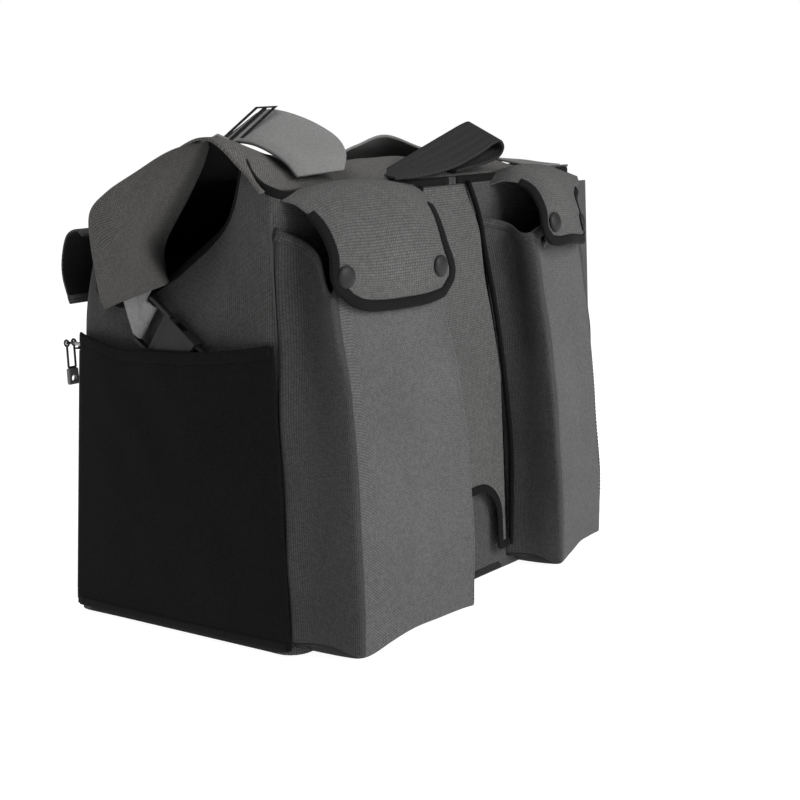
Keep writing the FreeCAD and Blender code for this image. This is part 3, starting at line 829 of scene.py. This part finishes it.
LEFT_TOP = [(0, 0, 309), (0, 0, 292), (0, 0, 262), (0, 0, 280), (0, 0, 284), (0, 0, 284), (0, 0, 284), (0, 0, 284),
            (0, 0, 280), (0, 0, 284), (0, 0, 300)]
RIGHT_TOP = [(0, 0, 300), (0, 0, 292), (0, 0, 284), (0, 0, 286), (0, 0, 288), (0, 0, 286), (0, 0, 284), (0, 0, 284),
             (0, 0, 283), (0, 0, 284), (0, 0, 300)]
left_bellows = bellows(LEFT_PLAN, LEFT_TOP, 2.0)
right_bellows = bellows(RIGHT_PLAN, RIGHT_TOP, 6.0)
for name, shape in (("left_pocket", left_bellows), ("right_pocket", right_bellows)):
    piece = cloth(name + "_cloth", shape, (230, 300), (116, 130), "pocket_canvas", "bag", (name,), 1.5,
                  lining="lining", soften=1)
    # The gussets take the darker grey, which is painted shade.
    for finish in ("shaded_gusset_canvas", "lining", "black_cloth", "lining"):
        piece.data.materials.append(finishes[finish])
    cut = piece.data.uv_layers["UVMap"].data
    for face in piece.data.polygons:
        u, v = [sum(cut[i].uv[k] for i in face.loop_indices) / 4 / (0.230, 0.300)[k] for k in (0, 1)]
        gusset = u < (0.245 if shape is left_bellows else 0.28) or u > 0.82
        face.material_index = 4 if v < 0.045 else (2 if gusset else 0)
    print(name, "laid round", 4, "corners")
for name, shape, ends in (("left", left_bellows, (0.24, 0.80)), ("right", right_bellows, (0.29, 0.84))):
    for label, u in zip(("outer", "inner"), ends):
        stitches(name + "_pocket_seam_" + label, on_skin(shape, lambda t, u=u: (u, 0.06 + 0.88 * t), 0.8), 76,
                 "grey_thread", "bag", 2.6, 0.35)
    # The hem takes the gussets' darker grey, which is painted shade.
    tube(name + "_pocket_hem", on_skin(shape, lambda t: (0.002 + 0.996 * t, 0.985), 0.2), 7, 2.6, "shaded_gusset_canvas",
         "bag", 90)

# %% [markdown]
# A flap is a stiff little curtain: sewn along the back's top edge, it rolls over and hangs in front of
# the pocket's face. Each one is a net of a few listed rows. The near flap lifts at its outer
# edge, and the far one has its inner edge raised into an open tunnel, as it does when half fastened.

# %% Pocket flaps
left_flap = turned(net([
    [(-199, -1, 326), (-180, -1, 332), (-152, -1, 335), (-120, -1, 336), (-85, -1, 333), (-54, -3, 328)],
    [(-195, -12, 322), (-176, -14, 329), (-150, -17, 331), (-120, -18, 331), (-88, -18, 328), (-58, -17, 321)],
    [(-191, -27, 308), (-172, -32, 313), (-150, -35, 313), (-120, -35, 313), (-90, -35, 311), (-65, -33, 305)],
    [(-192, -38, 290), (-172, -41, 289), (-150, -41.5, 288), (-120, -41.5, 288), (-90, -41, 287), (-64, -39.5, 285)],
    [(-193, -40, 272), (-173, -42, 267), (-150, -42, 264), (-120, -42, 263), (-88, -42, 263), (-58, -41, 266)],
    [(-182, -40.5, 259), (-166, -42, 251), (-145, -42, 248), (-120, -42, 247), (-92, -42, 247), (-66, -41, 250)]]))
right_flap = turned(net([
    [(50, 0, 322), (60, 0, 331), (80, -1, 335), (110, -1, 336), (145, -1, 332), (186, -1, 322)],
    [(58, -14, 325), (72, -14, 334), (92, -12, 336), (118, -10, 334), (148, -7, 327), (182, -5, 315)],
    [(66, -30, 318), (80, -28, 328), (100, -24, 329), (122, -19, 325), (146, -14, 318), (170, -9, 305)],
    [(64, -42, 302), (80, -41, 309), (102, -37, 309), (124, -30, 306), (146, -23, 301), (164, -16, 292)],
    [(61, -46, 288), (80, -46, 289), (102, -43, 289), (124, -36, 287), (146, -28, 284), (163, -20, 280)],
    [(66, -47, 277), (82, -47, 274), (102, -45, 274), (124, -38, 272), (146, -30, 270), (160, -22, 272)]]))
flaps = {"left": left_flap, "right": right_flap}


def rim_path(t):
    """Down one side of a flap, along its lower edge and up the other, in u and v."""
    corner = straight([(0.012, 0.30, 0), (0.012, 0.88, 0), (0.05, 0.985, 0), (0.95, 0.985, 0), (0.988, 0.88, 0),
                       (0.988, 0.30, 0)], t)
    return corner.x, corner.y


for side, shape in flaps.items():
    body = side + "_flap"
    flap_cloth = cloth(side + "_flap_cloth", shape, (138, 112), (70, 64), "grey_canvas", body,
                       (side + "_pocket_flap",), 1.5, lining="lining", soften=1)
    tube(side + "_flap_tape", on_skin(shape, rim_path, 0.2), 8.5, 3.2, "black_tape", body, 130,
         (side + "_flap_binding",))
print("flaps hung")

# %% [markdown]
# Each snap is a domed cap outside the flap, with its socket behind the cloth and its stud on the
# pocket. A cap is a disc spun from a short profile: a low dome, a rounded rim and a flat foot.

# %% Snaps
CAP = [(0.0, 2.6), (3.6, 2.4), (6.4, 1.7), (7.8, 0.8), (8.1, 0.1), (7.8, -0.6), (0.0, -0.6)]
STUD = [(0.0, 2.0), (2.0, 2.0), (2.6, 1.4), (2.2, 0.9), (4.8, 0.7), (5.0, 0.0), (0.0, 0.0)]


def spun(name, profile, spots, finish, body, stands_for):
    """A turned part at each spot, its axis along the spot's outward direction."""
    bm = bmesh.new()
    for centre, out in spots:
        aside = Vector(out).orthogonal().normalized()
        frame_of = Matrix((aside, Vector(out).cross(aside), Vector(out))).transposed().to_4x4()
        verts = [bm.verts.new((r * MM, 0, h * MM)) for r, h in profile]
        edges = [bm.edges.new(pair) for pair in zip(verts, verts[1:])]
        made = bmesh.ops.spin(bm, geom=verts + edges, axis=(0, 0, 1), cent=(0, 0, 0), steps=28,
                              angle=2 * math.pi, use_merge=True)
        ring = {v for e in edges for v in e.verts} | {v for g in made["geom_last"] if isinstance(g, bmesh.types.BMVert)
                                                      for v in [g]}
        new = [v for v in bm.verts if not v.tag]
        bmesh.ops.transform(bm, matrix=Matrix.Translation(at(centre)) @ frame_of, verts=new)
        for v in bm.verts:
            v.tag = True
    bmesh.ops.remove_doubles(bm, verts=bm.verts, dist=1e-6)
    bmesh.ops.recalc_face_normals(bm, faces=bm.faces)
    for face in bm.faces:
        face.smooth = True
    mesh = bpy.data.meshes.new(name)
    bm.to_mesh(mesh)
    bm.free()
    mesh.materials.append(finishes[finish])
    return finish_piece(bpy.data.objects.new(name, mesh), body, stands_for)


cap_spots = {"left": ((0.895, 0.76), (0.115, 0.74)), "right": ((0.84, 0.78), (0.16, 0.78))}
for side, shape in flaps.items():
    caps = [skin(shape, u, v, 1.6) for u, v in cap_spots[side]]
    backs = [skin(shape, u, v, -0.9) for u, v in cap_spots[side]]
    spun(side + "_snap_cap", CAP, caps, "snap_black", side + "_flap", (side + "_snap_caps",))
    spun(side + "_snap_socket", STUD, [(c, -o) for c, o in backs], "snap_black", side + "_flap",
         (side + "_snap_sockets",))
stud_spots = {"left": (left_bellows, ((0.27, 0.955), (0.78, 0.955))), "right": (right_bellows, ((0.36, 0.955), (0.72, 0.955)))}
for side, (shape, spots) in stud_spots.items():
    spun(side + "_snap_stud", STUD, [skin(shape, u, v, 0.7) for u, v in spots], "snap_black", "bag",
         (side + "_snap_studs",))
print("eight snaps")

# %% [markdown]
# The end pockets are stretch mesh: flush with the panel along their front and back seams, pulled out in
# the middle by the elastic hem, with a few soft wrinkles that run from the hem. The hem is a folded
# strip of the same mesh.

# %% Mesh pockets


def mesh_sheet(u, v):
    """The left mesh pocket, u from the front seam to the back seam, v upwards."""
    top = 227 - 8.5 * math.sin(math.pi * u) ** 0.8 - 2.0 * smooth((u - 0.1) / 0.2) * smooth((0.5 - u) / 0.2)
    z = 6 + v * (top - 6)
    y = 2.5 + (1 - u) * (front_y(z) - 6)
    arc = math.sin(math.pi * u) ** 0.7
    out = 1.4 + arc * (2.0 + 12.0 * v ** 0.8)
    fold = 1.5 * ripple(u * 7 + v * 2.5, v * 3 - u * 2, 2.0) * arc * smooth(v / 0.3)
    pull = 0.9 * math.sin(26 * (u * 0.8 + v * 0.45)) * smooth((v - 0.55) / 0.3) * arc
    return Vector((-HALF - out - fold - pull, y, z))




def right_mesh(u, v):
    """The right mesh pocket lies flatter, on the slack end."""
    place = mirrored(mesh_sheet)(u, v)
    place.x = 209.4 + (place.x - 209.4) * 0.5 * smooth((place.y - 2) / 90) - lean(210, place.y, place.z)
    return place


mesh_sides = {"left": mesh_sheet, "right": right_mesh}
for side, shape in mesh_sides.items():
    sheet_piece = cloth(side + "_mesh_cloth", shape, (224, 218), (110, 100), "stretch_mesh", "bag",
                        (side + "_mesh_pocket",), 1.2, soften=1)
    tube(side + "_mesh_band", on_skin(shape, lambda t: (0.01 + 0.98 * t, 0.985), 0.3), 9, 2.6, "stretch_mesh",
         "bag", 90, (side + "_mesh_hem",))
    tube(side + "_mesh_foot", on_skin(shape, lambda t: (0.01 + 0.98 * t, 0.012), 0.0), 8, 2.4, "black_tape",
         "bag", 60)
print("mesh pockets made")

# %% [markdown]
# The roll-top is one sheet: it leaves the back's top edge, runs over a soft crest that is higher
# towards the ends, down to a shoulder and over the front, where its rolled edge tucks under. At each
# end it turns down as a wing with a fold in it, which is what gives this kind of bag its open ear.

# %% Roll-top sheet and wings
CREST_XS = (-213, -205, -185, -150, -90, 0, 90, 150, 185, 205, 213)


def crest_z(x):
    """The crest's height along the bag."""
    return 347 + 23 * smooth((-x - 120) / 85) - 14 * smooth((x - 60) / 120)


def roll_sheet(u, v):
    """The roll-top's sheet, u along the bag, v from the fold to the tucked edge."""
    x = -213 + 426 * u
    high = crest_z(x)
    rows = [(x, 6, 332), (x, 22, 338 + (high - 347) * 0.45), (x, 55, high), (x, 100, high - 10 - (high - 347) * 0.2),
            (x, 150, 334), (x, 178, 318), (x, 181, 298), (x, 177, 262), (x, 173, 249), (x, 167, 250),
            (x, 165, 268)]
    place = along(rows, v)
    inside = smooth((213 - abs(x)) / 40)
    wave = 2.6 * ripple(x * 0.014, v * 4.5, 7.0) * smooth(v / 0.15) + 1.6 * ripple(x * 0.03, v * 8, 9.0) * smooth(v / 0.2)
    place.z += wave * (0.3 + 0.7 * inside)
    place.x -= lean(x, place.y, 300)
    return place


roll_cloth = cloth("roll_sheet", roll_sheet, (430, 330), (170, 110), "wing_canvas", "roll", ("roll_top",), 2.0,
                   lining="lining")

WING_OUTER = [(-211, 54, 369), (-213, 90, 362), (-214, 125, 348), (-214, 158, 334), (-213, 180, 318),
              (-213, 181, 290), (-213, 176, 262), (-214, 170, 246)]
WING_MIDDLE = [(-210, 55, 370), (-214, 80, 357), (-215, 106, 340), (-214, 126, 320), (-214, 138, 298),
               (-216, 140, 280), (-218, 140, 266), (-218, 140, 255)]
WING_RIDGE = [(-208, 57, 369), (-216, 68, 352), (-222, 83, 333), (-224, 98, 314), (-225, 108, 301),
              (-224, 109, 289), (-222, 104, 277), (-220, 98, 267)]
WING_TUCK = [(-204, 60, 364), (-200, 72, 350), (-197, 90, 330), (-195, 108, 311), (-194, 120, 297),
             (-194, 124, 286), (-195, 122, 276), (-197, 118, 268)]


def wing(u, v):
    """The left wing: u from its outer edge over the fold to the tuck, v from the crest down."""
    place = along([along(row, v) for row in (WING_OUTER, WING_MIDDLE, WING_RIDGE, WING_TUCK)], u)
    soft = math.sin(math.pi * min(u / 0.7, 1)) * smooth(v / 0.15)
    place.x -= soft * (1.6 * ripple(place.y * 0.03, place.z * 0.03, 12.0) + 0.8)
    return place




def right_wing(u, v):
    """The right wing hangs lower, because that end is slack."""
    place = mirrored(turned(wing))(u, v)
    place.z -= 32 * smooth((place.z - 296) / 70)
    place.x -= lean(place.x, place.y, 300)
    return place


wings = {"left": turned(wing), "right": right_wing}
for side, shape in wings.items():
    wing_cloth = cloth(side + "_wing_cloth", shape, (118, 190), (64, 90), "wing_canvas", "roll", (), 1.6,
                       lining="lining", soften=1)
print("crest from", crest_z(0), "to", crest_z(213))

# %% [markdown]
# A side-release buckle is several parts: a socket, a plug, two sprung arms. Their fixed shapes have the
# real layout, so they are kept and only rounded. The webbing tab and the anchor are cloth, so they are
# laid as bands, with a turn round the plug's bar and a row of stitches.

# %% Buckles, tabs and anchors
for side in ("left", "right"):
    softened(side + "_clip_socket", "black_plastic", 0.5)
    softened(side + "_clip_plug", "black_plastic", 0.5)
    for label in ("upper", "lower"):
        softened(side + "_clip_arm_" + label, "black_plastic", 0.5)


def band(name, edge_a, edge_b, size, cells, finish, body, stands_for, thick=1.6):
    """A strap between two edge lines."""
    shape = lambda u, v: along(edge_a, v).lerp(along(edge_b, v), u)
    return cloth(name, shape, size, cells, finish, body, stands_for, thick), shape


PULL = (0.7924, 0.6100)     # the way a plug pulls out, as y and z


def on_buckle(x, along_pull, across):
    """A place in a left buckle's own directions."""
    return (x, 93 + PULL[0] * along_pull - PULL[1] * across, 219 + PULL[1] * along_pull + PULL[0] * across)


TAB_LOWER = [(-215.5, 148, 276), (-217, 147, 262), on_buckle(-219, 43, -15), on_buckle(-220.6, 37, -15),
             on_buckle(-219.5, 33.2, -15), on_buckle(-217, 33.0, -15), on_buckle(-215.2, 36, -15),
             on_buckle(-215.3, 44, -15)]
TAB_UPPER = [(-215.5, 112, 284), (-217, 109, 271), on_buckle(-219, 43, 15), on_buckle(-220.6, 37, 15),
             on_buckle(-219.5, 33.2, 15), on_buckle(-217, 33.0, 15), on_buckle(-215.2, 36, 15),
             on_buckle(-215.3, 44, 15)]
ANCHOR_ROWS = [(-214, -50), (-216, -36), (-217.5, -29), (-220.8, -25), (-220.8, -21), (-218, -18.6), (-215.2, -21),
               (-215.4, -30)]
ANCHOR_LOWER = [on_buckle(x, a, -15) for x, a in ANCHOR_ROWS]
ANCHOR_UPPER = [on_buckle(x, a, 15) for x, a in ANCHOR_ROWS]


def flipped(points):
    """The same line at the bag's other end."""
    return [(-p[0], p[1], p[2]) for p in points]


for side, turn in (("left", list), ("right", flipped)):
    _, tab = band(side + "_tab", turn(TAB_UPPER), turn(TAB_LOWER), (30, 66), (20, 60), "tab_webbing", "roll",
                  (side + "_clip_tab",), 1.5)
    stitches(side + "_tab_stitches", on_skin(tab, lambda t: (0.08 + 0.84 * t, 0.33), -0.95 if side == "left" else 0.95),
             11, "pale_thread", "roll", 2.0, 0.5)
    band(side + "_anchor", turn(ANCHOR_UPPER), turn(ANCHOR_LOWER), (30, 52), (14, 48), "black_webbing", "bag",
         (side + "_clip_anchor",), 1.5)
print("buckles rounded, tabs and anchors laid")

# %% [markdown]
# The shoulder strap is 50 mm webbing that lies over the roll-top in a loose hump. Stiff webbing keeps
# a smooth bend and twists a little, so each stretch is a band between its two edge lines. The slider
# sits on the hump: a flat frame with two slots, cut from a small grid.

# %% Shoulder strap and its slider
STRAP_LEFT = [(-175, 5, 341), (-173, 16, 350), (-171, 32, 358), (-169, 50, 364), (-167, 68, 366), (-168, 86, 364),
              (-172, 106, 357)]
STRAP_RIGHT = [(-124, 5, 343), (-108, 16, 355), (-98, 34, 367), (-106, 54, 380), (-122, 72, 388),
               (-131, 84, 384), (-137, 102, 366)]
near_strap, near_shape = band("strap_near", STRAP_LEFT, STRAP_RIGHT, (50, 130), (30, 90), "pale_webbing", "roll",
                              ("shoulder_strap",), 2.0)
far_strap, far_shape = band("strap_far",
                            [(122, 6, 334), (122, 25, 338), (122, 50, 342), (122, 78, 340), (122, 100, 336)],
                            [(170, 6, 333), (170, 25, 335), (170, 50, 338), (170, 78, 337), (170, 100, 332)],
                            (50, 104), (30, 60), "pale_webbing", "roll", (), 2.0)
cross_strap, cross_shape = band("strap_across",
                                [(-176, 128, 354), (-125, 128, 346), (-60, 128, 341), (0, 130, 343), (60, 130, 342),
                                 (120, 128, 338), (150, 128, 336), (176, 128, 334)],
                                [(-176, 78, 372), (-125, 78, 355), (-60, 78, 350), (-18, 80, 358), (24, 82, 365),
                                 (70, 80, 353), (120, 78, 344), (176, 78, 339)],
                                (50, 360), (24, 120), "pale_webbing", "roll", ("strap_crossing",), 2.0)


def tri_glide():
    """The slider: a frame with two slots round the strap, turned to lie with it."""
    bm = bmesh.new()
    xs, ys = [-28, -25.2, 25.2, 28], [-11, -7, -2.5, 2.5, 7, 11]
    grid = [[bm.verts.new((x * MM, y * MM, 0)) for x in xs] for y in ys]
    for j in range(5):
        for i in range(3):
            if i == 1 and j in (1, 3):
                continue
            bm.faces.new((grid[j][i], grid[j][i + 1], grid[j + 1][i + 1], grid[j + 1][i]))
    bmesh.ops.solidify(bm, geom=bm.faces[:], thickness=4.6 * MM)
    bmesh.ops.recalc_face_normals(bm, faces=bm.faces)
    sharp = [e for e in bm.edges if e.is_manifold and e.calc_face_angle(0) > 0.5]
    bmesh.ops.bevel(bm, geom=sharp, offset=1.1 * MM, affect="EDGES", segments=3, profile=0.5, material=-1)
    centre, out = skin(near_shape, 0.5, 0.74, 1.2)
    across = (Vector(near_shape(1, 0.74)) - Vector(near_shape(0, 0.74))).normalized()
    ahead_of = out.cross(across).normalized()
    turn = Matrix((across, ahead_of, across.cross(ahead_of))).transposed().to_4x4()
    bmesh.ops.transform(bm, matrix=Matrix.Translation(at(centre)) @ turn, verts=bm.verts)
    for face in bm.faces:
        face.smooth = True
    mesh = bpy.data.meshes.new("strap_tri_glide")
    bm.to_mesh(mesh)
    bm.free()
    mesh.materials.append(finishes["black_plastic"])
    return finish_piece(bpy.data.objects.new("strap_tri_glide", mesh), "slider", ("strap_slider",))


tri_glide()
print("strap in three stretches")

# %% [markdown]
# The grab handle is black ribbed webbing with its two ends sewn to the back's top edge. It rises from
# one foot, turns over at its highest point and comes back to the other, and leans to the back.

# %% Grab handle
HANDLE_FRONT = [(-60, 24, 336.5), (-42, 25, 342), (-6, 26, 353), (33, 26, 365), (52, 25, 371), (62, 25, 372.5),
                (66, 24.5, 368), (58, 23, 360), (36, 19, 348), (18, 15, 340), (8, 13, 336.5)]
HANDLE_BACK = [(-76, -4, 334), (-46, -7, 335), (-8, -9, 339.5), (24, -10, 348), (46, -9, 355), (57, -9, 357),
               (62, -8.5, 351), (56, -7, 344), (39, -3, 339.5), (22, 0, 337), (11, 2, 335.5)]
handle, handle_shape = band("grab_handle_webbing", HANDLE_FRONT, HANDLE_BACK, (38, 210), (28, 120), "black_webbing",
                            "handle", ("carry_handle",), 2.4)
print("handle made")

# %% [markdown]
# The front has a flat pocket across its whole width with a zip along its top, and a storm flap that
# curls over the zip from the front's upper edge. The zip's coil is two rows of small beads, and its
# slider and pull keep their fixed shape, rounded.

# %% Front pocket, zip and storm flap
ZIP_HEIGHT = 212.0


def front_pocket(u, v):
    """The front pocket's face, closed down its sides and at its foot."""
    x = 208 - 416 * u
    z = 8 + (ZIP_HEIGHT - 8) * v
    edge_in = smooth(min(u, 1 - u) / 0.03) * smooth(v / 0.05)
    full = 8.2 + 1.0 * ripple(x * 0.012, z * 0.013, 4.0) + 0.5 * ripple(x * 0.05, z * 0.05, 5.0)
    return Vector((x, front_y(z) + 1.2 + edge_in * full, z))


cloth("front_pocket_cloth", front_pocket, (416, 206), (140, 70), "grey_canvas", "bag", ("front_pocket",), 1.5,
      lining="lining", soften=1)
zip_back, zip_front = front_y(ZIP_HEIGHT) + 0.6, front_y(ZIP_HEIGHT) + 9.9
zip_middle = (zip_back + zip_front) / 2


def zip_tape(u, v):
    """The zip's tape, flat on the pocket's top."""
    return Vector((207 - 414 * u, zip_front - (zip_front - zip_back) * v, ZIP_HEIGHT + 0.9))


cloth("zip_tape_cloth", zip_tape, (414, 10), (60, 8), "black_tape", "bag", ("zip_tapes",), 0.8)
for label, shift, stands_for in (("front", 1.3, ("zip_teeth",)), ("back", -1.3, ())):
    stitches("zip_coil_" + label, lambda t, s=shift: ((-205 + 410 * t, zip_middle + s, ZIP_HEIGHT + 2.0), (0, 0, 1)),
             190, "zip_black", "bag", 1.6, 1.2, stands_for)
softened("zip_slider", "zip_metal", 0.3)
softened("pull_cord", "black_thread", 0.25)
softened("pull_end", "pull_grey", 0.3)


def storm_flap(u, v):
    """The flap over the zip: out from the front's edge, down, and a little back."""
    x = 208 - 416 * u
    wave = 1.8 * ripple(x * 0.013, v * 2.0, 6.0) * smooth(v / 0.4)
    y, z = along([(197, 301, 0), (203, 305, 0), (214, 300, 0), (221, 284, 0), (222, 268, 0), (216, 248, 0)], v)[:2]
    return Vector((x, y + wave, z))


storm_sheet = turned(storm_flap)
storm = cloth("storm_flap_cloth", storm_sheet, (416, 78), (130, 36), "grey_canvas", "storm_flap", ("front_flap",),
              1.6, lining="lining")
tube("storm_flap_edge", on_skin(storm_sheet, lambda t: (0.001 + 0.998 * t, 0.97), 0.2), 7, 3.0, "grey_canvas", "storm_flap",
     80, ("front_flap_hem",))
stitches("storm_flap_stitches", on_skin(storm_sheet, lambda t: (0.01 + 0.98 * t, 0.90), 0.9), 130, "grey_thread",
         "storm_flap", 2.4, 0.35)
softened("roll_stiffener", "stiffener", 0.5)
print("front made")

# %% [markdown]
# The floor is a wide pale sheet.

# %% Floor and its finish
bpy.ops.mesh.primitive_plane_add(size=14, location=(0, 0, -0.0006))
floor = bpy.context.object
floor.name = "floor"
paper, paper_tree, paper_shader = bare("paper", 0.9)
paper_shader.inputs["Base Color"].default_value = (0.4, 0.4, 0.4, 1.0)
paper_shader.inputs["Emission Color"].default_value = WHITE
paper_shader.inputs["Emission Strength"].default_value = 0.95
floor.data.materials.append(paper)
